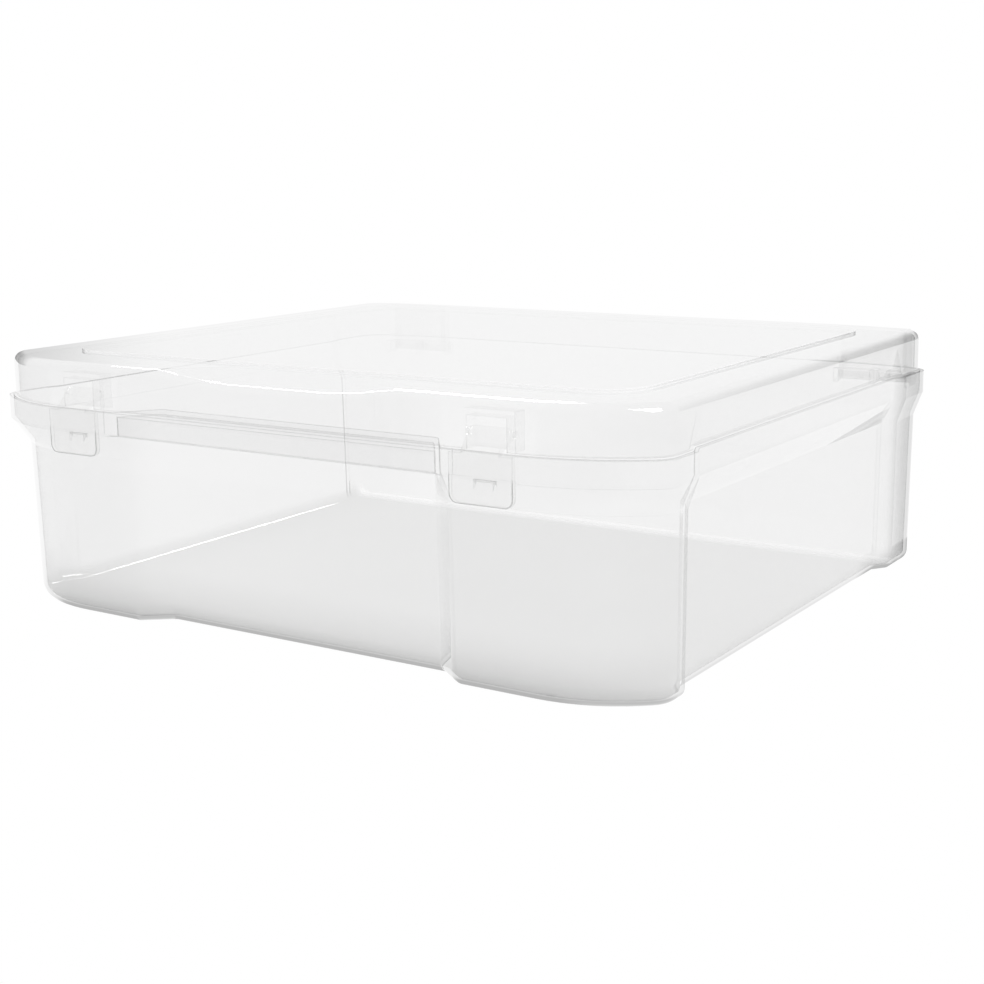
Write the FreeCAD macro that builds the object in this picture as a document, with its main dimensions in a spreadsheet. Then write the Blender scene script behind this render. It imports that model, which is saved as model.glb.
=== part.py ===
"""A clear hinged-lid storage case: a base tray with a front hand recess, a lid and two front latches."""

import FreeCAD, Part
import math
import os
import Sketcher

Vector = FreeCAD.Vector

# lengths nearer than this count as equal
CLOSE = 1e-4

# Driving dimensions in millimetres, and shares of other sizes where a name ends in share.
SIZES = {
    # overall outline at the rim
    "case_length": 384.0,
    "case_width": 332.0,
    "case_height": 128.0,
    "wall": 2.0,
    # plan outline: the front and back bow away from straight centres, over these runs before the sides
    "front_bow_run": 32.0,
    "front_setback": 22.5,
    "back_bow_run": 37.0,
    "back_setback": 8.0,
    "bow_share": 0.95,
    "corner_round": 14.0,
    # heights of the base
    "rim_height": 11.5,
    "flare_height": 12.5,
    "bottom_round": 5.5,
    # how far the walls stand inside the rim
    "foot_side_inset": 5.6,
    "foot_front_inset": 9.5,
    "foot_back_inset": 3.0,
    "knee_side_inset": 4.5,
    "knee_front_inset": 8.5,
    "knee_back_inset": 1.5,
    # recessed side panels between the corner pillars
    "pillar_reach": 48.0,
    "panel_step": 8.0,
    "wall_panel_depth": 5.6,
    "rim_panel_depth": 3.4,
    # hand recess in the front and the handle bar in front of it
    "recess_depth": 20.0,
    "recess_rise": 1.5,
    "recess_side": 98.0,
    "recess_slant": 14.0,
    "recess_round": 7.0,
    "recess_inner_round": 3.0,
    "bar_wall": 2.2,
    "bar_lift": 0.4,
    "ledge_wall": 2.0,
    # lid
    "lid_height": 23.0,
    "seam_gap": 0.3,
    "lid_step": 2.5,
    "lid_edge_round": 5.0,
    "scoop_side": 120.0,
    "scoop_slope": 32.0,
    "scoop_depth": 4.7,
    "scoop_reach": 32.0,
    "top_panel_border": 28.0,
    "top_panel_front_border": 36.0,
    "top_panel_rise": 1.2,
    "top_panel_round": 22.0,
    # latches
    "latch_side": 74.4,
    "latch_width": 31.0,
    "latch_wall": 2.2,
    "latch_gap": 0.4,
    "latch_drop": 10.0,
    "latch_round": 4.0,
    "arm_width": 18.4,
    "arm_gap": 0.5,
    "arm_radius": 2.6,
    "arm_reach": 0.5,
    "notch_height": 14.0,
    "notch_depth": 7.0,
    "axle_height": 7.0,
    "axle_depth": 3.4,
    "axle_radius": 1.5,
    "axle_clearance": 0.05,
    "axle_share": 0.8,
    "cheek_wall": 2.6,
    "hook_width": 9.4,
    "hook_height": 3.4,
    "hook_tip": 0.8,
    "hook_reach": 1.7,
    "hook_gap": 0.6,
    "catch_gap": 0.4,
    # hinge
    "hinge_side": 35.0,
    "hinge_width": 40.0,
    "hinge_drop": 7.0,
    "hinge_gap": 0.4,
    "pin_radius": 1.6,
    "pin_clearance": 0.05,
    "knuckle_radius": 3.1,
    "knuckle_round_share": 0.95,
    "heel_drop": 2.5,
    "heel_reach": 1.5,
    "ear_wall": 2.6,
    "wing_drop": 1.5,
    "wing_wall": 2.2,
    "wing_round": 5.0,
    "wing_root": 6.0,
    "snap_share": 0.8,
    # one overrun for every cut that runs past a face
    "overrun": 1.0,
}


class Size:
    """A length that carries its number and its formula in the sheet, so that sums keep both."""

    def __init__(self, value, formula):
        self.value = value
        self.formula = formula

    def joined(self, other, sign, value):
        formula = other.formula if isinstance(other, Size) else repr(other)
        return Size(value, f"({self.formula} {sign} {formula})")

    def __add__(self, other):
        return self.joined(other, "+", self.value + number(other))

    def __sub__(self, other):
        return self.joined(other, "-", self.value - number(other))

    def __mul__(self, other):
        return self.joined(other, "*", self.value * number(other))

    def __truediv__(self, other):
        return self.joined(other, "/", self.value / number(other))

    def __neg__(self):
        return Size(-self.value, f"(0 - {self.formula})")

    def root(self):
        return Size(math.sqrt(self.value), f"sqrt({self.formula})")


def number(item):
    return item.value if isinstance(item, Size) else item


def make_sheet(doc):
    """Put every driving dimension in the sheet, one aliased cell each, and return them as sizes."""
    sheet = doc.addObject("Spreadsheet::Sheet", "sizes")
    for row, (name, value) in enumerate(SIZES.items(), start=1):
        sheet.set(f"A{row}", name)
        sheet.set(f"B{row}", str(value))
        sheet.setAlias(f"B{row}", name)
    doc.recompute()
    return {name: Size(value, f"sizes.{name}") for name, value in SIZES.items()}


doc = FreeCAD.newDocument("case")
size = make_sheet(doc)
zero = size["case_length"] * 0

half_length = size["case_length"] / 2
half_width = size["case_width"] / 2
seam_height = size["case_height"] - size["lid_height"]
rim_bottom = seam_height - size["rim_height"]
knee_height = rim_bottom - size["flare_height"]
sole_height = size["bottom_round"] + size["wall"] / 2
lid_bottom = seam_height + size["seam_gap"]
lid_border_top = size["case_height"] - size["top_panel_rise"]
lid_shoulder = lid_border_top - size["lid_edge_round"] - size["wall"] / 2
lid_front = half_width - size["lid_step"]

# where things stand from the middle of the case, so that they keep their distance from its sides
panel_half = half_width - size["pillar_reach"]
recess_half = half_length - size["recess_side"]
latch_place = half_length - size["latch_side"]
hinge_place = half_length - size["hinge_side"]


def half_turn(along, across):
    """The tangent of half the turn between a straight run and a slanted one."""
    return ((along * along + across * across).root() - along) / across


def bow_radius(run, setback):
    """The radius that rounds a bend into its slanted run, as far as the corner's rounding leaves it free."""
    slant = (run * run + setback * setback).root()
    taken = size["corner_round"] * (slant - setback) / run
    return size["bow_share"] * (slant - taken) * (run + slant) / setback


def back_sag(x):
    """How far the bowed back edge of the rim lies in front of its straight centre at this x."""
    run = size["back_bow_run"]
    radius = bow_radius(run, size["back_setback"])
    along = x - half_length + run + radius * half_turn(run, size["back_setback"])
    return radius - (radius * radius - along * along).root()


# the hinge line runs behind the rear rim, the latch axles inside the lid's front wall
hinge_inner = hinge_place - size["hinge_width"] / 2
hinge_outer = hinge_place + size["hinge_width"] / 2
hinge_y = half_width - back_sag(hinge_inner) + size["hinge_gap"] + size["knuckle_radius"]
hinge_z = seam_height - size["hinge_drop"]
axle_y = size["axle_depth"] - lid_front
axle_z = lid_bottom + size["axle_height"]

# everything moves by this much, so that the origin is under the middle of the whole case
latch_stand = half_width + size["latch_gap"] + size["latch_wall"]
hinge_stand = hinge_y + size["knuckle_radius"]
centring = (latch_stand - hinge_stand) / 2


def new_body(label, x=zero, y=centring):
    body = doc.addObject("PartDesign::Body", label)
    body.Label = label
    body.setExpression("Placement.Base.x", x.formula)
    body.setExpression("Placement.Base.y", y.formula)
    return body


def new_sketch(body, name, role, offset):
    """A sketch on one of the body's own planes, moved along the plane's normal."""
    sketch = body.newObject("Sketcher::SketchObject", name)
    plane = next(item for item in body.Origin.OriginFeatures if item.Role == role)
    sketch.AttachmentSupport = [(plane, "")]
    sketch.MapMode = "FlatFace"
    sketch.AttachmentOffset = FreeCAD.Placement(Vector(0, 0, offset.value), FreeCAD.Rotation())
    sketch.setExpression("AttachmentOffset.Base.z", offset.formula)
    return sketch


class Limits:
    """The constraints of one sketch, gathered first and added in one go with their formulas."""

    def __init__(self, sketch):
        self.sketch = sketch
        self.items = []
        self.formulas = []

    def rule(self, *terms):
        self.items.append(Sketcher.Constraint(*terms))
        self.formulas.append(None)

    def measure(self, kind, length, *terms):
        self.items.append(Sketcher.Constraint(kind, *terms, length.value))
        self.formulas.append(length.formula)

    def place(self, geometry, point, x, y):
        """Fix a point by its distances from the sketch's origin."""
        for kind, length, axis in (("DistanceX", x, -2), ("DistanceY", y, -1)):
            if abs(length.value) < CLOSE:
                self.rule("PointOnObject", geometry, point, axis)
            elif length.value > 0:
                self.measure(kind, length, -1, 1, geometry, point)
            else:
                self.measure(kind, -length, geometry, point, -1, 1)

    def add(self):
        first = self.sketch.ConstraintCount
        self.sketch.addConstraint(self.items)
        for index, formula in enumerate(self.formulas, start=first):
            if formula:
                self.sketch.setExpression(f"Constraints[{index}]", formula)


def rounding(before, corner, after, radius):
    """Where a rounding of this radius starts and ends at a corner, and its centre."""
    towards = (before - corner).normalize()
    onwards = (after - corner).normalize()
    half_angle = towards.getAngle(onwards) / 2
    run = radius / math.tan(half_angle)
    middle = (towards + onwards).normalize()
    centre = corner + middle * (radius / math.sin(half_angle))
    return corner + towards * run, corner + onwards * run, centre


def turn_arc(centre, radius, start, end):
    """An anticlockwise arc between two points; tells whether it runs from start to end."""
    first = math.atan2(start.y - centre.y, start.x - centre.x)
    last = math.atan2(end.y - centre.y, end.x - centre.x)
    forward = (last - first) % (2 * math.pi) < math.pi
    if not forward:
        first, last = last, first
    if last < first:
        last += 2 * math.pi
    return Part.ArcOfCircle(Part.Circle(centre, Vector(0, 0, 1), radius), first, last), forward


def draw_outline(sketch, corners):
    """Draw a closed outline whose corners are (x, y) or (x, y, rounding radius), fully dimensioned."""
    limits = Limits(sketch)
    points = [Vector(corner[0].value, corner[1].value, 0) for corner in corners]
    radii = [corner[2] if len(corner) > 2 else None for corner in corners]
    count = len(corners)
    starts, ends, arcs = list(points), list(points), {}
    for index, radius in enumerate(radii):
        if radius:
            before, after = points[index - 1], points[(index + 1) % count]
            start, end, centre = rounding(before, points[index], after, radius.value)
            starts[index], ends[index] = start, end
            arcs[index] = turn_arc(centre, radius.value, start, end)
    marks = [sketch.addGeometry(Part.Point(point), True) for point in points]
    lines = [
        sketch.addGeometry(Part.LineSegment(ends[index], starts[(index + 1) % count]), False)
        for index in range(count)
    ]
    for index, corner in enumerate(corners):
        into, out = lines[index - 1], lines[index]
        limits.place(marks[index], 1, corner[0], corner[1])
        if index not in arcs:
            limits.rule("Coincident", into, 2, marks[index], 1)
            limits.rule("Coincident", out, 1, marks[index], 1)
            continue
        arc, forward = arcs[index]
        curve = sketch.addGeometry(arc, False)
        first, last = (1, 2) if forward else (2, 1)
        limits.rule("PointOnObject", marks[index], 1, into)
        limits.rule("PointOnObject", marks[index], 1, out)
        limits.rule("Tangent", into, 2, curve, first)
        limits.rule("Tangent", curve, last, out, 1)
        limits.measure("Radius", radii[index], curve)
    limits.add()
    return sketch


def draw_circle(sketch, x, y, radius):
    limits = Limits(sketch)
    middle = Vector(x.value, y.value, 0)
    circle = sketch.addGeometry(Part.Circle(middle, Vector(0, 0, 1), radius.value), False)
    limits.place(circle, 3, x, y)
    limits.measure("Radius", radius, circle)
    limits.add()
    return sketch


def rectangle(left, right, low, high):
    return [(left, low), (right, low), (right, high), (left, high)]


def both_halves(half):
    """Close a right-hand run of corners, front to back, with its mirror image."""
    mirror = [(-corner[0], *corner[1:]) for corner in reversed(half)]
    return half + mirror


def loft(body, name, kind, low, high):
    feature = body.newObject(f"PartDesign::{kind}Loft", name)
    feature.Profile = low
    feature.Sections = [high]
    feature.Ruled = True
    return feature


def pad(body, name, sketch, length, reverse=False):
    feature = body.newObject("PartDesign::Pad", name)
    feature.Profile = sketch
    feature.Reversed = reverse
    feature.setExpression("Length", length.formula)
    return feature


def pocket(body, name, sketch, length, reverse=False):
    feature = body.newObject("PartDesign::Pocket", name)
    feature.Profile = sketch
    feature.Reversed = reverse
    feature.setExpression("Length", length.formula)
    return feature


def round_edges(body, name, base, radius, wanted):
    """Round those edges of the latest feature for which wanted(edge) holds."""
    doc.recompute()
    names = [f"Edge{n}" for n, edge in enumerate(base.Shape.Edges, start=1) if wanted(edge)]
    feature = body.newObject("PartDesign::Fillet", name)
    feature.Base = (base, names)
    feature.setExpression("Radius", radius.formula)
    return feature


def lies_at(shape, height):
    """Whether a face or edge lies flat at this height."""
    box = shape.BoundBox
    return abs(box.ZMin - height.value) < CLOSE and abs(box.ZMax - height.value) < CLOSE


def corner_runs(side_inset, front_inset, back_inset, skin):
    """The corners of the plan at one level, front and back; a skin draws them that much further in."""
    side = half_length - side_inset
    front = half_width - front_inset
    back = half_width - back_inset
    runs = []
    for edge, bow_run, setback in (
        (front, size["front_bow_run"], size["front_setback"]),
        (back, size["back_bow_run"], size["back_setback"]),
    ):
        bend = half_length - bow_run
        run = side - bend
        radius = bow_radius(run, setback) - skin
        middle = (bend - skin * half_turn(run, setback), edge - skin, radius)
        corner = (side - skin, edge - setback - skin * half_turn(setback, run), size["corner_round"] - skin)
        runs.append((middle, corner))
    (front_middle, front_corner), (back_middle, back_corner) = runs
    front_run = [(x, -y, radius) for x, y, radius in (front_middle, front_corner)]
    return front_run, [back_corner, back_middle]


def tray_outline(side_inset, front_inset, back_inset, panel_depth, recess_y, skin):
    """The base's plan at one level, with the hand recess in front and a panel between the side pillars."""
    front_run, back_run = corner_runs(side_inset, front_inset, back_inset, skin)
    side = half_length - side_inset - skin
    step_shift = skin * half_turn(size["panel_step"], panel_depth)
    near = panel_half + size["panel_step"] / 2 + step_shift
    far = panel_half - size["panel_step"] / 2 + step_shift
    front = half_width - front_inset
    slant_shift = skin * half_turn(size["recess_slant"], front - recess_y)
    inner_x = recess_half - size["recess_slant"] + slant_shift
    recess = [
        (inner_x, skin - recess_y, size["recess_inner_round"] + skin),
        (recess_half + slant_shift, skin - front, size["recess_round"] - skin),
    ]
    panel = [(side, -near), (side - panel_depth, -far), (side - panel_depth, far), (side, near)]
    return both_halves(recess + front_run + panel + back_run)


def tray_levels(body, prefix, heights, skin):
    """The base's outline at the foot, at the knee under the flare, and at the rim."""
    foot_recess = half_width - size["recess_depth"]
    rim_recess = foot_recess + size["recess_rise"]
    insets = {
        "foot": (size["foot_side_inset"], size["foot_front_inset"], size["foot_back_inset"],
                 size["wall_panel_depth"], foot_recess),
        "knee": (size["knee_side_inset"], size["knee_front_inset"], size["knee_back_inset"],
                 size["wall_panel_depth"], rim_recess),
        "rim": (zero, zero, zero, size["rim_panel_depth"], rim_recess),
    }
    return [
        draw_outline(
            new_sketch(body, f"{prefix}_{level}", "XY_Plane", height),
            tray_outline(*insets[level], skin),
        )
        for level, height in zip(insets, heights)
    ]


def build_base():
    body = new_body("base_tray")
    foot, knee, rim = tray_levels(body, "outer", (sole_height, knee_height, rim_bottom), zero)
    sole = pad(body, "sole", foot, sole_height, reverse=True)
    round_edges(body, "bottom_rounding", sole, size["bottom_round"], lambda edge: lies_at(edge, zero))
    loft(body, "walls", "Additive", foot, knee)
    loft(body, "flare", "Additive", knee, rim)
    pad(body, "rim_band", rim, size["rim_height"])

    skin = size["wall"]
    lift = skin * half_turn(size["flare_height"], size["knee_front_inset"])
    foot, knee, rim = tray_levels(body, "inner", (sole_height, knee_height + lift, rim_bottom + lift), skin)
    well = pocket(body, "well", foot, sole_height - skin)
    inner_round = size["bottom_round"] - skin
    loft(body, "inner_walls", "Subtractive", foot, knee)
    loft(body, "inner_flare", "Subtractive", knee, rim)
    mouth = pocket(body, "mouth", rim, size["rim_height"] + size["overrun"], reverse=True)
    round_edges(body, "floor_rounding", mouth, inner_round, lambda edge: lies_at(edge, skin))

    add_handle(body)
    add_catches(body)
    add_ears(body)
    return body


def mirrored_pair(body, name, features):
    """Repeat features on the other side of the case's middle plane."""
    feature = body.newObject("PartDesign::Mirrored", name)
    feature.Originals = features
    plane = next(item for item in body.Origin.OriginFeatures if item.Role == "YZ_Plane")
    feature.MirrorPlane = (plane, [""])
    body.Tip = feature
    return feature


def slice_along_x(body, name, corners, start, length, cut=False):
    """A profile across the case, given as (y, z) corners, carried along x from start."""
    sketch = draw_outline(new_sketch(body, f"{name}_profile", "YZ_Plane", start), corners)
    return (pocket if cut else pad)(body, name, sketch, length, reverse=cut)


def rod_along_x(body, name, y, z, radius, start, length, cut=False):
    sketch = draw_circle(new_sketch(body, f"{name}_profile", "YZ_Plane", start), y, z, radius)
    return (pocket if cut else pad)(body, name, sketch, length, reverse=cut)


def add_handle(body):
    """The ledge that closes the hand recess at the top, and the bar that hangs from its front edge."""
    middle = size["wall"] / 2
    recess_y = half_width - size["recess_depth"] + size["recess_rise"]
    ledge = both_halves([
        (recess_half + middle, middle - half_width),
        (recess_half - size["recess_slant"] + middle, middle - recess_y),
    ])
    ledge_z = seam_height - size["ledge_wall"]
    sketch = draw_outline(new_sketch(body, "ledge_outline", "XY_Plane", ledge_z), ledge)
    pad(body, "ledge", sketch, size["ledge_wall"])
    reach = recess_half + size["recess_round"]
    bar = rectangle(-reach, reach, -half_width, size["bar_wall"] - half_width)
    sketch = draw_outline(new_sketch(body, "bar_outline", "XY_Plane", rim_bottom + size["bar_lift"]), bar)
    pad(body, "bar", sketch, size["rim_height"] - size["bar_lift"])


def add_catches(body):
    """The two small pockets under the rim that the latch hooks snap into."""
    tip_y = size["latch_gap"] - size["hook_reach"] + half_width
    deep = -(tip_y - size["catch_gap"])
    low = rim_bottom - size["hook_gap"] - size["hook_height"]
    profile = rectangle(-half_width - size["overrun"], deep, low, rim_bottom)
    width = size["hook_width"] + size["arm_gap"] * 2
    start = latch_place - width / 2
    catch = slice_along_x(body, "catch", profile, start, width, cut=True)
    mirrored_pair(body, "catches", [catch])


def add_ears(body):
    """Three ears on each side of the back, and the moulded pin that runs through them."""
    reach = size["knuckle_radius"]
    rounded = reach * size["knuckle_round_share"]
    starts = {
        "inner_ear": hinge_inner - size["hinge_gap"] - size["ear_wall"],
        "middle_ear": hinge_place - size["ear_wall"] / 2,
        "outer_ear": hinge_outer + size["hinge_gap"],
    }
    features = []
    for name, start in starts.items():
        root = half_width - back_sag(start + size["ear_wall"]) - size["wall"] / 2
        profile = [
            (root, hinge_z + reach),
            (hinge_y + reach, hinge_z + reach, rounded),
            (hinge_y + reach, hinge_z - reach, rounded),
            (root, rim_bottom),
        ]
        features.append(slice_along_x(body, name, profile, start, size["ear_wall"]))
    start = starts["inner_ear"]
    length = starts["outer_ear"] + size["ear_wall"] - start
    features.append(rod_along_x(body, "hinge_pin", hinge_y, hinge_z, size["pin_radius"], start, length))
    mirrored_pair(body, "hinge_pins", features)


def lid_outline(inset, skin):
    front_run, back_run = corner_runs(inset, inset, inset, skin)
    return both_halves(front_run + back_run)


def lid_panel_cut(depth, inset, skin, shift):
    """Plan of the wedge that thins the lid's side between the pillars, moved out by shift."""
    shallow = half_length - inset - skin - depth + shift
    far = panel_half - size["panel_step"] / 2 + skin * half_turn(size["panel_step"], depth)
    past = depth + size["overrun"]
    flared = far + size["panel_step"] * past / depth
    return [(shallow, -far), (shallow + past, -flared), (shallow + past, flared), (shallow, far)]


def scoop_outline(top, skin):
    """Front view of the finger scoop: a flat middle between two easy slopes, open above."""
    slope = size["scoop_slope"]
    edge = half_length - size["scoop_side"]
    turn = half_turn(slope, size["scoop_depth"])
    easing = size["bow_share"] * (slope * slope + size["scoop_depth"] * size["scoop_depth"]).root() / turn / 2
    low = top - size["scoop_depth"]
    half = [
        (edge - slope, low, easing - skin),
        (edge, top, easing + skin),
        (edge + slope, top),
        (edge + slope, top + size["scoop_depth"] * 2),
    ]
    return both_halves(half)


def lid_block(body, prefix, skin, low):
    """The lid's outer form, or with a skin the form of the hollow under it."""
    inset = size["lid_step"]
    top = lid_border_top - skin
    foot = draw_outline(new_sketch(body, f"{prefix}_foot", "XY_Plane", low), lid_outline(inset, skin))
    pad(body, f"{prefix}_block", foot, top - low)

    depth = size["rim_panel_depth"]
    wedges = []
    for level, height, shift in (("low", low, zero), ("high", lid_shoulder, depth)):
        sketch = new_sketch(body, f"{prefix}_panel_{level}", "XY_Plane", height)
        wedges.append(draw_outline(sketch, lid_panel_cut(depth, inset, skin, shift)))
    wedge = loft(body, f"{prefix}_panel", "Subtractive", *wedges)
    mirrored_pair(body, f"{prefix}_panels", [wedge])

    scoops = []
    for place, back, rise in (("front", zero, zero), ("back", size["scoop_reach"], size["scoop_depth"])):
        sketch = new_sketch(body, f"{prefix}_scoop_{place}", "XZ_Plane", lid_front - back)
        scoops.append(draw_outline(sketch, scoop_outline(top + rise, skin)))
    scoop = loft(body, f"{prefix}_scoop", "Subtractive", *scoops)

    doc.recompute()
    scooped = top - size["scoop_depth"] - size["seam_gap"]
    roof = [face for face in scoop.Shape.Faces if face.BoundBox.ZMin > scooped.value]
    counts = {}
    for face in roof:
        for edge in face.Edges:
            counts[edge.hashCode()] = counts.get(edge.hashCode(), 0) + 1
    radius = size["lid_edge_round"] - skin
    return round_edges(body, f"{prefix}_rounding", scoop, radius, lambda edge: counts.get(edge.hashCode()) == 1)


def add_wings(body):
    """The two hinge wings that reach over the rear rim and clip onto the pins."""
    reach = size["knuckle_radius"]
    rounded = reach * size["knuckle_round_share"]
    top = lid_border_top - size["wing_drop"]
    root = half_width - size["lid_step"] - size["wing_root"]
    profile = [
        (root, top),
        (hinge_y + reach, top, size["wing_round"]),
        (hinge_y + reach, hinge_z - size["heel_drop"]),
        (hinge_y + size["heel_reach"], hinge_z - reach),
        (hinge_y - reach, hinge_z - reach, rounded),
        (hinge_y - reach, lid_bottom),
        (root, lid_bottom),
    ]
    wing = slice_along_x(body, "wing", profile, hinge_inner, size["hinge_width"])

    inner = size["hinge_width"] - size["wing_wall"] * 2
    hollow = rectangle(lid_front, hinge_y + reach - size["wing_wall"], hinge_z + reach, top - size["wing_wall"])
    cavity = slice_along_x(body, "wing_hollow", hollow, hinge_inner + size["wing_wall"], inner, cut=True)

    past = reach + size["overrun"]
    middle = hinge_place - size["ear_wall"] / 2 - size["hinge_gap"]
    slot_width = size["ear_wall"] + size["hinge_gap"] * 2
    slot = rectangle(hinge_y - past, hinge_y + past, hinge_z - past, hinge_z + reach + size["hinge_gap"])
    ear_slot = slice_along_x(body, "ear_slot", slot, middle, slot_width, cut=True)

    bore_radius = size["pin_radius"] + size["pin_clearance"]
    before = hinge_inner - size["overrun"]
    along = size["hinge_width"] + size["overrun"] * 2
    bore = rod_along_x(body, "hinge_bore", hinge_y, hinge_z, bore_radius, before, along, cut=True)
    mouth_half = size["pin_radius"] * size["snap_share"]
    mouth = rectangle(hinge_y - mouth_half, hinge_y + mouth_half, hinge_z - past, hinge_z)
    snap = slice_along_x(body, "snap_mouth", mouth, before, along, cut=True)
    mirrored_pair(body, "wings", [wing, cavity, ear_slot, bore, snap])


def add_housings(body):
    """The two latch housings behind the lid's front wall, each with a notch and bores for the axle."""
    notch_width = size["arm_width"] + size["arm_gap"] * 2
    width = notch_width + size["cheek_wall"] * 2
    height = size["notch_height"] + size["cheek_wall"]
    front = size["wall"] / 2 - lid_front
    deep = size["notch_depth"] + size["cheek_wall"] - lid_front
    block = rectangle(front, deep, lid_bottom, lid_bottom + height)
    start = latch_place - width / 2
    housing = slice_along_x(body, "housing", block, start, width)

    past = size["overrun"]
    notch_back = size["notch_depth"] - lid_front
    notch = rectangle(-lid_front - past, notch_back, lid_bottom - past, lid_bottom + size["notch_height"])
    opening = slice_along_x(body, "notch", notch, latch_place - notch_width / 2, notch_width, cut=True)
    bore_radius = size["axle_radius"] + size["axle_clearance"]
    bore = rod_along_x(body, "axle_bore", axle_y, axle_z, bore_radius, start - past, width + past * 2, cut=True)
    mirrored_pair(body, "housings", [housing, opening, bore])


def add_top_panel(body):
    """The raised panel on top, pushed out from below so that the wall stays even."""
    def panel(skin):
        side = half_length - size["top_panel_border"] - skin
        front = half_width - size["top_panel_front_border"] - skin
        back = half_width - size["top_panel_border"] - skin
        corner = size["top_panel_round"] - skin
        return both_halves([(side, -front, corner), (side, back, corner)])

    outer = draw_outline(new_sketch(body, "panel_outline", "XY_Plane", lid_border_top), panel(zero))
    pad(body, "top_panel", outer, size["top_panel_rise"])
    ceiling = lid_border_top - size["wall"]
    inner = draw_outline(new_sketch(body, "panel_underside", "XY_Plane", ceiling), panel(size["wall"]))
    pocket(body, "panel_relief", inner, size["top_panel_rise"], reverse=True)


def build_lid():
    core = new_body("lid_core", y=zero)
    lid_block(core, "core", size["wall"], lid_bottom - size["overrun"])
    body = new_body("lid")
    lid_block(body, "lid", zero, lid_bottom)
    add_wings(body)
    shell = body.newObject("PartDesign::Boolean", "shell")
    shell.setObjects([core])
    shell.Type = "Cut"
    body.Tip = shell
    add_top_panel(body)
    add_housings(body)
    return body


def build_latch(label, place):
    """One latch: a tab in front of the rim, an arm with its own axle above it and a hook behind it."""
    body = new_body(label, x=place)
    behind = half_width + size["latch_gap"]
    tab_top = seam_height - size["latch_gap"]
    tab_bottom = rim_bottom - size["latch_drop"]
    half_tab = size["latch_width"] / 2
    corner = size["latch_round"]
    tab = both_halves([(half_tab, tab_bottom, corner), (half_tab, tab_top)])
    sketch = draw_outline(new_sketch(body, "tab_outline", "XZ_Plane", behind), tab)
    pad(body, "tab", sketch, size["latch_wall"])

    radius = size["arm_radius"]
    rounded = radius * size["knuckle_round_share"]
    shoulder = seam_height + size["latch_gap"]
    arm = [
        (axle_y + radius, axle_z + radius, rounded),
        (axle_y + radius, axle_z - radius, rounded),
        (-behind, shoulder),
        (-behind, tab_top - size["latch_wall"]),
        (-behind - size["latch_wall"], tab_top - size["latch_wall"]),
        (-behind - size["latch_wall"], shoulder + size["arm_reach"]),
        (axle_y - radius / 2, axle_z + radius),
    ]
    half_arm = size["arm_width"] / 2
    slice_along_x(body, "arm", arm, -half_arm, size["arm_width"])

    hook_top = rim_bottom - size["hook_gap"]
    tip = size["hook_reach"] - behind
    root = -behind - size["latch_wall"] / 2
    hook = [
        (root, hook_top),
        (tip, hook_top),
        (tip, hook_top - size["hook_tip"]),
        (-behind, hook_top - size["hook_height"]),
        (root, hook_top - size["hook_height"]),
    ]
    slice_along_x(body, "hook", hook, -size["hook_width"] / 2, size["hook_width"])

    half_axle = half_arm + size["arm_gap"] + size["cheek_wall"] * size["axle_share"]
    rod_along_x(body, "axle", axle_y, axle_z, size["axle_radius"], -half_axle, half_axle * 2)
    return body


def write_parts(doc, bodies):
    """Check the whole document, then write one file per piece."""
    doc.recompute()
    failed = [item.Name for item in doc.Objects if {"Invalid", "Error"} & set(item.State)]
    if failed:
        raise SystemExit(f"features failed: {failed}")
    for body in bodies:
        if body.Shape.isNull() or not body.Shape.isValid() or len(body.Shape.Solids) != 1:
            raise SystemExit(f"{body.Label} is not one valid solid")
    os.makedirs("parts", exist_ok=True)
    for body in bodies:
        body.Shape.exportStep(f"parts/{body.Label}.step")
        box = body.Shape.BoundBox
        print(body.Label, f"{box.XLength:.1f} x {box.YLength:.1f} x {box.ZLength:.1f}", len(body.Shape.Faces))


write_parts(doc, [
    build_base(),
    build_lid(),
    build_latch("latch_left", -latch_place),
    build_latch("latch_right", latch_place),
])
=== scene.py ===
import math
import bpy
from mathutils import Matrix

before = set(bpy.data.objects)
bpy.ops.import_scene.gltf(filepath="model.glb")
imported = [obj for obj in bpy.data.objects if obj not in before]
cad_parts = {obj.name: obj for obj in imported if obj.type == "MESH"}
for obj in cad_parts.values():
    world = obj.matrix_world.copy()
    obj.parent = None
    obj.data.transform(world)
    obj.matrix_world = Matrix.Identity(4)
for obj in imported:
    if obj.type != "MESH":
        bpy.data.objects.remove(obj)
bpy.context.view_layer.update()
from types import SimpleNamespace

import bpy
from mathutils import Matrix, Vector

MM = 0.001


def grey(value):
    return (value, value, value, 1.0)


WHITE = grey(1.0)

# parts of the closed case, each a span in metres from where a treatment starts to where it is whole
# END_X to PILLAR_Y and SOLE_Z place painted shade on parts of the case
END_X = (0.130, 0.192)
FOOT_Z = (0.085, 0.0)
TOE_Y = (-0.110, -0.160)
TOE_Z = (0.030, 0.004)
BLOCK_Y = (-0.150, -0.163)
LEFT_BLOCK_X = (-0.080, -0.110)
PILLAR_X = (0.168, 0.182)
PILLAR_Y = (0.115, 0.150)
SOLE_Z = (0.006, 0.002)
FLOOR_Y = (0.131, 0.126)
FLOOR_Z = (0.010, 0.002)
BACK_ROUNDING_Y = (0.080, 0.105)
BACK_ROUNDING_Z = (0.014, 0.011)
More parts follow.
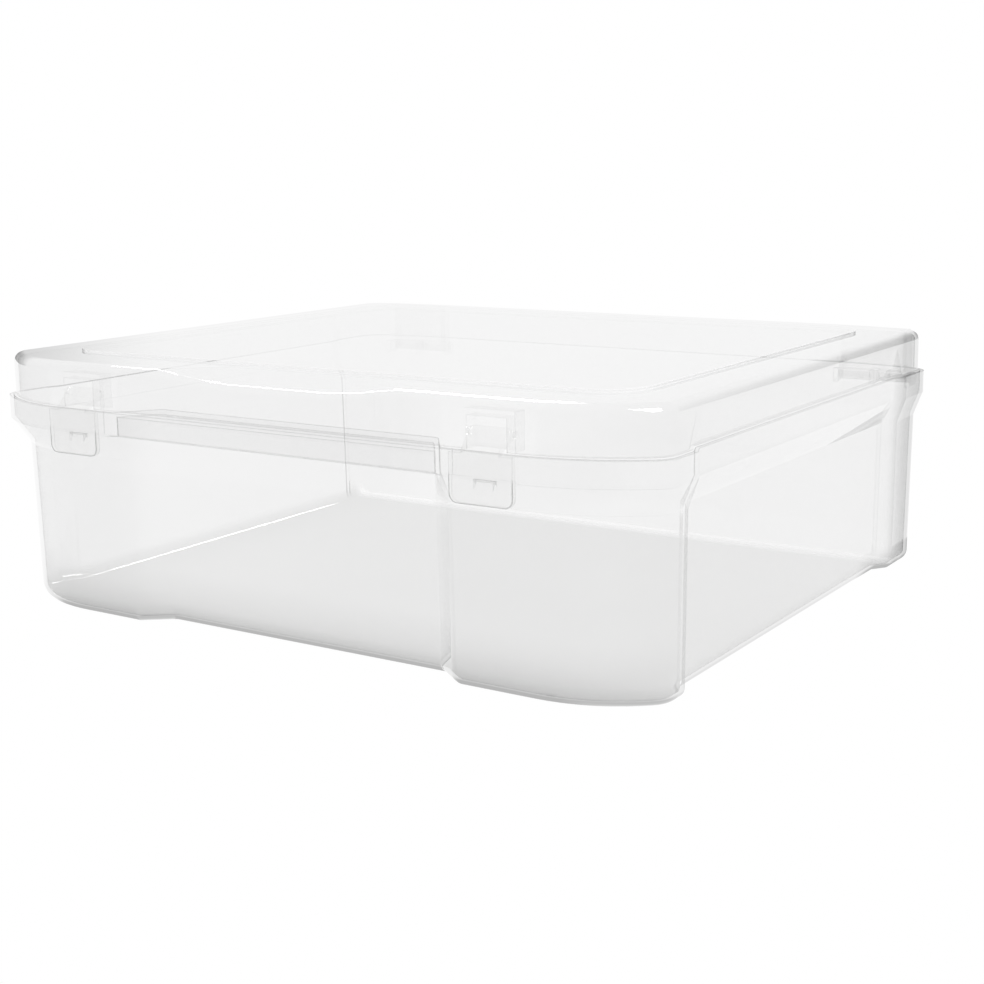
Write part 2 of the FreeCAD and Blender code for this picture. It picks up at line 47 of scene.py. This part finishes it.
# PAST_FLOOR_Y, BACK_WALL_Y and PANEL_Z place painted highlights
PAST_FLOOR_Y = (0.1305, 0.1325)
BACK_WALL_Y = (0.1375, 0.1345)
FLARE_Z = (0.070, 0.078)
REAR_Y = (0.130, 0.140)
PANEL_Z = (0.1235, 0.1255)
HOUSING_INNER_X = (0.092, 0.096)
HOUSING_OUTER_X = (0.142, 0.138)
HOUSING_FRONT_Y = (-0.1650, -0.1642)
HOUSING_BACK_Y = (-0.1330, -0.1380)
HOUSING_LOWER_Z = (0.1035, 0.1050)
HOUSING_UPPER_Z = (0.1235, 0.1215)

# ways that a face can look, the same kind of span over one part of its normal or over a dot product
CORNER_BEND = (0.99, 0.80)
UNDERCUT = (-0.05, -0.5)
NOT_SIDEWAYS = (0.30, 0.10)
INWARD = (-0.01, -0.04)
UPWARD = (0.1, 0.2)
LEVEL = (0.96, 0.99)
FRONTWARD = (-0.5, -0.8)

# the plastic itself
FLOW_SCALE = 7.0
FLOW_DETAIL = 2.0
FLOW_DEPTH = 0.04
RIPPLE_SCALE = 30.0
RIPPLE_DETAIL = 1.0
RIPPLE_HEIGHT = 0.001
CORNER_SAMPLES = 4
EVEN_BLEND = 0.5
STRAIGHT_MIRROR = 0.04
GRAZING_POWER = 5.0
FROST_DULL = 0.97


# nodes

def new_material(name):
    material = bpy.data.materials.new(name)
    material.use_nodes = True
    tree = material.node_tree
    tree.nodes.clear()
    return material, tree


def feed(tree, socket, value):
    """Give a socket its value, which is a number, a colour, a vector or another node's output."""
    if isinstance(value, bpy.types.NodeSocket):
        tree.links.new(value, socket)
    else:
        socket.default_value = value


def add(tree, kind, inputs=(), **settings):
    node = tree.nodes.new(kind)
    for key, value in settings.items():
        setattr(node, key, value)
    for key, value in dict(inputs).items():
        feed(tree, node.inputs[key], value)
    return node


def calc(tree, operation, *terms, clamp=False):
    return add(tree, "ShaderNodeMath", enumerate(terms), operation=operation, use_clamp=clamp).outputs[0]


def product(tree, first, *others):
    for other in others:
        first = calc(tree, "MULTIPLY", first, other)
    return first


def ramp(tree, value, span, low=0.0, high=1.0):
    """A smooth step from low, where the span starts, to high, where it ends."""
    inputs = {"Value": value, "From Min": span[0], "From Max": span[1], "To Min": low, "To Max": high}
    return add(tree, "ShaderNodeMapRange", inputs, interpolation_type="SMOOTHSTEP").outputs[0]


def tint(tree, share, base, tone, blend="MIX"):
    """A colour mix, whose sockets of that kind are inputs 6 and 7 and output 2."""
    inputs = {0: share, 6: base, 7: tone}
    return add(tree, "ShaderNodeMix", inputs, data_type="RGBA", blend_type=blend).outputs[2]


def dot(tree, first, second):
    return add(tree, "ShaderNodeVectorMath", {0: first, 1: second}, operation="DOT_PRODUCT").outputs["Value"]


def noise(tree, place, scale, detail):
    return add(tree, "ShaderNodeTexNoise", {"Vector": place, "Scale": scale, "Detail": detail}).outputs["Fac"]


def split(tree, vector):
    return add(tree, "ShaderNodeSeparateXYZ", {0: vector}).outputs


# clear plastic

def read_form(tree, corner_reach):
    """Where a point of the surface lies, which way it faces, and how much of it is corner, floor or sole."""
    coordinates = add(tree, "ShaderNodeTexCoord")
    surface = add(tree, "ShaderNodeNewGeometry")
    form = SimpleNamespace(place=coordinates.outputs["Object"], normal=coordinates.outputs["Normal"])
    form.x, form.y, form.z = split(tree, form.place)
    form.way_x, form.way_y, form.way_z = split(tree, form.normal)
    form.aside = calc(tree, "ABSOLUTE", form.x)
    form.upright = calc(tree, "SUBTRACT", 1.0, calc(tree, "ABSOLUTE", form.way_z))
    form.facing = add(tree, "ShaderNodeLayerWeight", {"Blend": EVEN_BLEND}).outputs["Facing"]
    form.outside = calc(tree, "SUBTRACT", 1.0, surface.outputs["Backfacing"])
    rounded = add(tree, "ShaderNodeBevel", {"Radius": corner_reach}, samples=CORNER_SAMPLES)
    form.corner = ramp(tree, dot(tree, rounded.outputs[0], surface.outputs["Normal"]), CORNER_BEND)
    form.low = ramp(tree, form.z, FLOOR_Z)
    form.floor = product(tree, form.low, ramp(tree, form.y, FLOOR_Y))
    form.sole = product(tree, ramp(tree, form.z, SOLE_Z), form.outside, ramp(tree, form.way_z, UNDERCUT))
    return form


def turn_and_shade_depth(tree, form, tones):
    """How far a wall goes from its flat tone to its turned one: by its own form, then part by part as painted
    shade.
    """
    flow = noise(tree, form.place, FLOW_SCALE, FLOW_DETAIL)
    turned = product(tree, calc(tree, "POWER", form.facing, tones["turn_power"]), form.upright)
    # painted shade: the ends, the bottom, the front toe, the front blocks, upright walls, the back pillars
    # and the sole are taken darker
    toe = ramp(tree, form.z, TOE_Z, high=tones["toe_shade"])
    block = ramp(tree, form.x, LEFT_BLOCK_X, low=tones["block_shade"], high=tones["left_block_shade"])
    pillar = ramp(tree, form.y, PILLAR_Y, high=tones["pillar_shade"])

    depth = calc(tree, "MULTIPLY_ADD", flow, FLOW_DEPTH, turned)
    depth = calc(tree, "MULTIPLY_ADD", ramp(tree, form.aside, END_X), tones["end_shade"], depth)
    depth = calc(tree, "MULTIPLY_ADD", ramp(tree, form.z, FOOT_Z), tones["foot_shade"], depth)
    depth = calc(tree, "MULTIPLY_ADD", ramp(tree, form.y, TOE_Y), toe, depth)
    ends = calc(tree, "MULTIPLY", form.upright, tones["wall_shade"])
    ends = calc(tree, "MULTIPLY_ADD", ramp(tree, form.y, BLOCK_Y), block, ends)
    ends = calc(tree, "MULTIPLY_ADD", ramp(tree, form.x, PILLAR_X), pillar, ends)
    depth = calc(tree, "ADD", depth, ends)
    return calc(tree, "MULTIPLY_ADD", form.sole, tones["sole_shade"], depth, clamp=True)


def painted_corner_shade(tree, form, tones):
    """Painted shade: the dark line along a sharp corner, fading in height and in depth."""
    fade_start, fade_end, faded = tones["corner_fade"]
    hide_start, hide_end, hidden = tones["corner_hide"]
    fade = ramp(tree, form.z, (fade_start, fade_end), low=1.0, high=faded)
    hide = ramp(tree, form.y, (hide_start, hide_end), low=1.0, high=hidden)
    return product(tree, form.corner, fade, hide)


def housing_share(tree, form, tones):
    """How far a point lies inside a latch housing, which is lighter than its walls would make it."""
    return product(
        tree,
        ramp(tree, form.aside, HOUSING_INNER_X, high=tones["housing_clear"]),
        ramp(tree, form.aside, HOUSING_OUTER_X),
        ramp(tree, form.y, HOUSING_FRONT_Y),
        ramp(tree, form.y, HOUSING_BACK_Y),
        ramp(tree, form.z, HOUSING_LOWER_Z),
        ramp(tree, form.z, HOUSING_UPPER_Z),
    )


def light_left(tree, form, tones):
    """The colour that is left of the light behind a wall, with painted shade along its corners and on some of
    its parts.
    """
    colour = tint(tree, turn_and_shade_depth(tree, form, tones), tones["flat"], tones["turned"])
    colour = tint(tree, painted_corner_shade(tree, form, tones), colour, tones["corner"], blend="MULTIPLY")
    colour = tint(tree, form.floor, colour, tones["floor"], blend="MULTIPLY")
    return tint(tree, housing_share(tree, form, tones), colour, tones["housing"])


def dull_share(tree, form, tones):
    """How much of its mirror a part has lost: sole, frosted floor, inner flare, ledge and rear wall."""
    floor = calc(tree, "MAXIMUM", form.sole, calc(tree, "MULTIPLY", form.floor, FROST_DULL))
    floor = product(tree, floor, ramp(tree, calc(tree, "ABSOLUTE", form.way_x), NOT_SIDEWAYS))
    level_place = add(tree, "ShaderNodeVectorMath", {0: form.place, 1: (1.0, 1.0, 0.0)}, operation="MULTIPLY")
    inner = ramp(tree, dot(tree, level_place.outputs[0], form.normal), INWARD)
    ledge = ramp(tree, form.way_z, LEVEL, high=tones["ledge_dull"])
    flare = calc(tree, "MAXIMUM", inner, ledge)
    flare = product(tree, flare, ramp(tree, form.z, FLARE_Z), ramp(tree, form.way_z, UPWARD))
    rounding = product(tree, ramp(tree, form.y, BACK_ROUNDING_Y), ramp(tree, form.z, BACK_ROUNDING_Z))
    rear = ramp(tree, form.y, REAR_Y, high=tones["rear_dull"])
    rear = product(tree, ramp(tree, form.way_y, FRONTWARD), rear)
    dull = floor
    for part in (flare, rounding, rear):
        dull = calc(tree, "MAXIMUM", dull, part)
    return dull


def mirror_share(tree, form, tones):
    """What both faces of a thin wall mirror, on its outer side alone and less where it is dull."""
    grazing = calc(tree, "POWER", form.facing, GRAZING_POWER)
    one_face = calc(tree, "MULTIPLY_ADD", grazing, 1 - STRAIGHT_MIRROR, STRAIGHT_MIRROR)
    through_one = calc(tree, "SUBTRACT", 1.0, one_face)
    both_faces = calc(tree, "SUBTRACT", 1.0, product(tree, through_one, through_one))
    shiny = calc(tree, "SUBTRACT", 1.0, dull_share(tree, form, tones))
    return product(tree, both_faces, form.outside, shiny)


def painted_highlight_share(tree, form, tones):
    """Painted highlights: soft white lines around the top panel and behind the frosted floor."""
    panel = product(tree, form.corner, ramp(tree, form.z, PANEL_Z, high=tones["panel_glint"]))
    before_wall = ramp(tree, form.y, BACK_WALL_Y, high=tones["floor_glint"])
    strip = product(tree, ramp(tree, form.y, PAST_FLOOR_Y), before_wall)
    return calc(tree, "MULTIPLY_ADD", strip, form.low, panel, clamp=True)


def mix_shaders(tree, share, first, second):
    return add(tree, "ShaderNodeMixShader", {0: share, 1: first.outputs[0], 2: second.outputs[0]})


def clear_plastic(name, tones, ripple):
    """Clear polypropylene: light goes straight through and loses a little, more where the form turns away,
    with painted shade on corners and parts and painted highlights along a few lines.
    """
    material, tree = new_material(name)
    form = read_form(tree, tones["corner_reach"])
    clear = add(tree, "ShaderNodeBsdfTransparent", {"Color": light_left(tree, form, tones)})
    waves = noise(tree, form.place, RIPPLE_SCALE, RIPPLE_DETAIL)
    bump = add(tree, "ShaderNodeBump", {"Strength": ripple, "Distance": RIPPLE_HEIGHT, "Height": waves})
    gloss = add(tree, "ShaderNodeBsdfGlossy", {"Color": WHITE, "Roughness": 0.0, "Normal": bump.outputs[0]})
    painted_highlight = add(tree, "ShaderNodeBsdfDiffuse", {"Color": WHITE})
    plastic = mix_shaders(tree, mirror_share(tree, form, tones), clear, gloss)
    # painted highlights: white diffuse mixed in along the top panel's corners and the floor's back edge
    plastic = mix_shaders(tree, painted_highlight_share(tree, form, tones), plastic, painted_highlight)
    add(tree, "ShaderNodeOutputMaterial", {"Surface": plastic.outputs[0]})
    return material


# The colours are what a wall leaves of the light, and "corner", the painted shade of a corner line, and
# "floor" multiply the others.
# Each part's shade is painted shade that takes its part of the case towards "turned", a glint is a painted
# highlight that whitens it, and a dull takes its mirror away.
# The two spans of a corner, over height and over depth, end with the share of the line that is left there.
PLAIN = {
    "corner_hide": (0.2, 0.3, 1.0),
    "end_shade": 0.0,
    "foot_shade": 0.0,
    "toe_shade": 0.0,
    "block_shade": 0.0,
    "left_block_shade": 0.0,
    "wall_shade": 0.0,
    "pillar_shade": 0.0,
    "sole_shade": 0.0,
    "floor": WHITE,
    "housing": grey(0.985),
    "housing_clear": 0.0,
    "panel_glint": 0.0,
    "floor_glint": 0.0,
    "ledge_dull": 0.0,
    "rear_dull": 0.0,
}
TRAY_TONES = {
    **PLAIN,
    "flat": grey(0.984),
    "turned": grey(0.58),
    "turn_power": 7.0,
    "corner": grey(0.72),
    "corner_reach": 0.0011,
    "corner_fade": (0.0935, 0.0910, 0.5),
    "end_shade": 0.034,
    "foot_shade": 0.0065,
    "toe_shade": 0.18,
    "block_shade": 0.043,
    "left_block_shade": 0.085,
    "pillar_shade": 0.36,
    "sole_shade": 1.0,
    "floor": (0.942, 0.942, 0.941, 1.0),
    "floor_glint": 0.14,
    "ledge_dull": 1.0,
}
LID_TONES = {
    **PLAIN,
    "flat": grey(0.984),
    "turned": grey(0.66),
    "turn_power": 6.0,
    "corner": grey(0.78),
    "corner_reach": 0.0009,
    "corner_fade": (0.1065, 0.1100, 0.3),
    "end_shade": 0.042,
    "wall_shade": 0.036,
    "pillar_shade": 0.22,
    "housing_clear": 0.7,
    "panel_glint": 0.3,
    "rear_dull": 0.95,
}
LATCH_TONES = {
    **PLAIN,
    "flat": (0.98, 0.98, 0.979, 1.0),
    "turned": grey(0.82),
    "turn_power": 7.0,
    "corner": grey(0.16),
    "corner_reach": 0.0010,
    "corner_fade": (0.092, 0.098, 0.15),
    "corner_hide": (-0.1698, -0.1692, 0.2),
    "housing_clear": 0.7,
    "ledge_dull": 1.0,
}
tray_plastic = clear_plastic("tray_plastic", TRAY_TONES, ripple=0.05)
lid_plastic = clear_plastic("lid_plastic", LID_TONES, ripple=0.04)
latch_plastic = clear_plastic("latch_plastic", LATCH_TONES, ripple=0.03)

for node, material in (
    ("base_tray", tray_plastic),
    ("lid", lid_plastic),
    ("latch_left", latch_plastic),
    ("latch_right", latch_plastic),
):
    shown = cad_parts[node]
    shown.data.materials.clear()
    shown.data.materials.append(material)


# studio

def glowing_white(name, strength):
    material, tree = new_material(name)
    shader = add(tree, "ShaderNodeEmission", {"Color": WHITE, "Strength": strength})
    add(tree, "ShaderNodeOutputMaterial", {"Surface": shader.outputs[0]})
    material.cycles.emission_sampling = "NONE"
    return material


def floor_mesh(name, half, rise):
    corners = [(-half, -half, rise), (half, -half, rise), (half, half, rise), (-half, half, rise)]
    mesh = bpy.data.meshes.new(name)
    mesh.from_pydata(corners, [], [(0, 1, 2, 3)])
    floor = bpy.data.objects.new(name, mesh)
    bpy.context.scene.collection.objects.link(floor)
    return floor


floor = floor_mesh("floor", half=6.0, rise=-0.0002)
floor.data.materials.append(glowing_white("floor_white", strength=1.0))

# a white backdrop, and grey cards to its left and right that only reflections show, placed in degrees
CARD_HEADINGS = (70, -8)
CARD_EDGES = (26, 12)
CARD_TONE = grey(0.2)
CARD_HAZE = 0.05
BACKDROP_STRENGTH = 1.0


def white_backdrop(name):
    world = bpy.data.worlds.new(name)
    world.use_nodes = True
    tree = world.node_tree
    direction = add(tree, "ShaderNodeTexCoord").outputs["Generated"]
    camera_ray = add(tree, "ShaderNodeLightPath").outputs["Is Camera Ray"]
    edges = [math.cos(math.radians(angle)) for angle in CARD_EDGES]
    cards = []
    for heading in CARD_HEADINGS:
        turn = math.radians(90 + heading)
        towards = dot(tree, direction, (math.cos(turn), math.sin(turn), 0))
        cards.append(ramp(tree, towards, edges, low=CARD_HAZE))
    unseen = calc(tree, "SUBTRACT", calc(tree, "ADD", *cards), camera_ray, clamp=True)
    backdrop = tree.nodes["Background"]
    feed(tree, backdrop.inputs["Color"], tint(tree, unseen, WHITE, CARD_TONE))
    feed(tree, backdrop.inputs["Strength"], BACKDROP_STRENGTH)
    return world


bpy.context.scene.world = white_backdrop("studio")


def soft_light(name, place, aim, width, height, power):
    light = bpy.data.lights.new(name, "AREA")
    light.shape = "RECTANGLE"
    light.size = width
    light.size_y = height
    light.energy = power
    lamp = bpy.data.objects.new(name, light)
    lamp.visible_camera = False
    lamp.location = place
    lamp.rotation_euler = (Vector(aim) - Vector(place)).to_track_quat("-Z", "Y").to_euler()
    bpy.context.scene.collection.objects.link(lamp)


INSIDE_LID = (0, 0, 0.1)
LEFT_OF_LID = (-0.70, -0.17, 0.12)
soft_light("behind_left", (-0.83, 1.0, 0.80), aim=INSIDE_LID, width=0.42, height=0.25, power=4)
soft_light("lid_line", (-0.70, 0.45, 0.88), aim=LEFT_OF_LID, width=0.85, height=0.12, power=2.6)
soft_light("right", (1.09, -0.58, 1.25), aim=INSIDE_LID, width=0.8, height=0.8, power=20)


# camera

PHOTO_PX = 984
SENSOR_WIDTH = 36
CLIP_START = 0.01
CLIP_END = 50


def aim_camera(place, yaw, pitch, roll, focal, centre):
    """A camera with the photo's own view, from its place in millimetres and its principal point in pixels."""
    yaw, pitch, roll = (math.radians(angle) for angle in (yaw, pitch, roll))
    ahead = Vector((-math.sin(yaw) * math.cos(pitch), math.cos(yaw) * math.cos(pitch), -math.sin(pitch)))
    level = Vector((math.cos(yaw), math.sin(yaw), 0))
    above = level.cross(ahead)
    right = level * math.cos(roll) + above * math.sin(roll)
    up = above * math.cos(roll) - level * math.sin(roll)
    data = bpy.data.cameras.new("camera")
    data.sensor_fit = "HORIZONTAL"
    data.sensor_width = SENSOR_WIDTH
    data.lens = focal / PHOTO_PX * data.sensor_width
    data.shift_x = (PHOTO_PX / 2 - centre[0]) / PHOTO_PX
    data.shift_y = (centre[1] - PHOTO_PX / 2) / PHOTO_PX
    data.clip_start = CLIP_START
    data.clip_end = CLIP_END
    camera = bpy.data.objects.new("camera", data)
    turn = Matrix((right, up, -ahead)).transposed().to_4x4()
    camera.matrix_world = Matrix.Translation(Vector(place) * MM) @ turn
    bpy.context.scene.collection.objects.link(camera)
    bpy.context.scene.camera = camera


aim_camera(
    place=(475.4, -695.6, 223.5),
    yaw=32.48,
    pitch=10.37,
    roll=-0.69,
    focal=1613.4,
    centre=(529.0, 447.5),
)
bpy.context.scene.view_settings.view_transform = "Standard"
bpy.context.scene.cycles.transparent_max_bounces = 32
